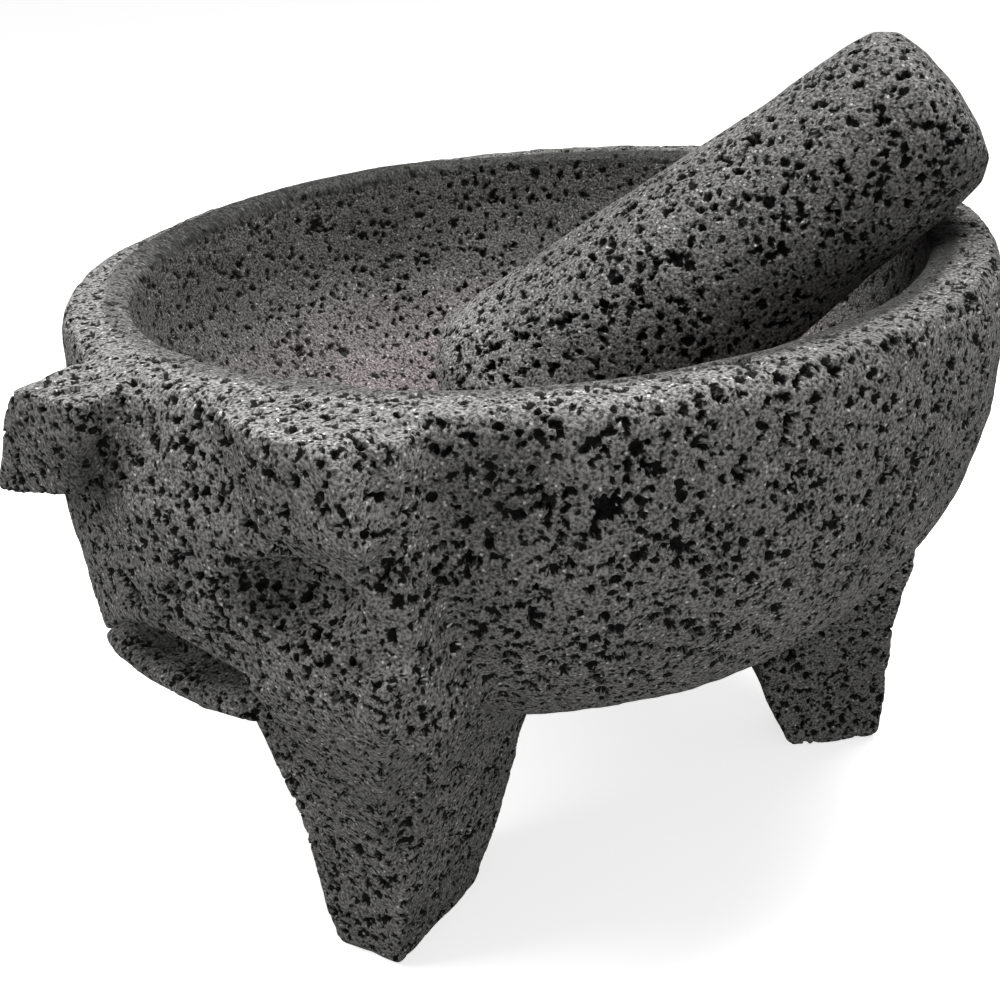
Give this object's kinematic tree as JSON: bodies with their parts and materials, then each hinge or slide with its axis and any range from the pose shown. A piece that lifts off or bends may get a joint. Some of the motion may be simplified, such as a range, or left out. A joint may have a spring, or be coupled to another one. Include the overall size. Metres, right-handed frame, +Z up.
{
  "type": "pig-head molcajete",
  "caption": "Stone mortar on tapering legs with a carved pig's head at the rim, and a loose tapered pestle leaning in its bowl.",
  "frame": {"origin": "on the bowl's axis, on the floor that the feet stand on", "axes": "+Z up along the bowl's axis, -Y towards the pig's face, +X towards the pig's left ear, which is on the right when one looks at the face"},
  "size_m": [0.203, 0.2115, 0.1812],
  "materials": {
    "mortar_stone": "rough, porous dark grey basalt",
    "pestle_stone": "rough, porous dark grey basalt"
  },
  "bodies": {
    "mortar": {"mortar": "mortar_stone"},
    "pestle": {"pestle": "pestle_stone"}
  },
  "joints": [
    {"name": "pestle_lift", "type": "slide", "parent": "mortar", "child": "pestle", "axis": [0, 0, 1], "range_m": [0, 0.16]}
  ]
}
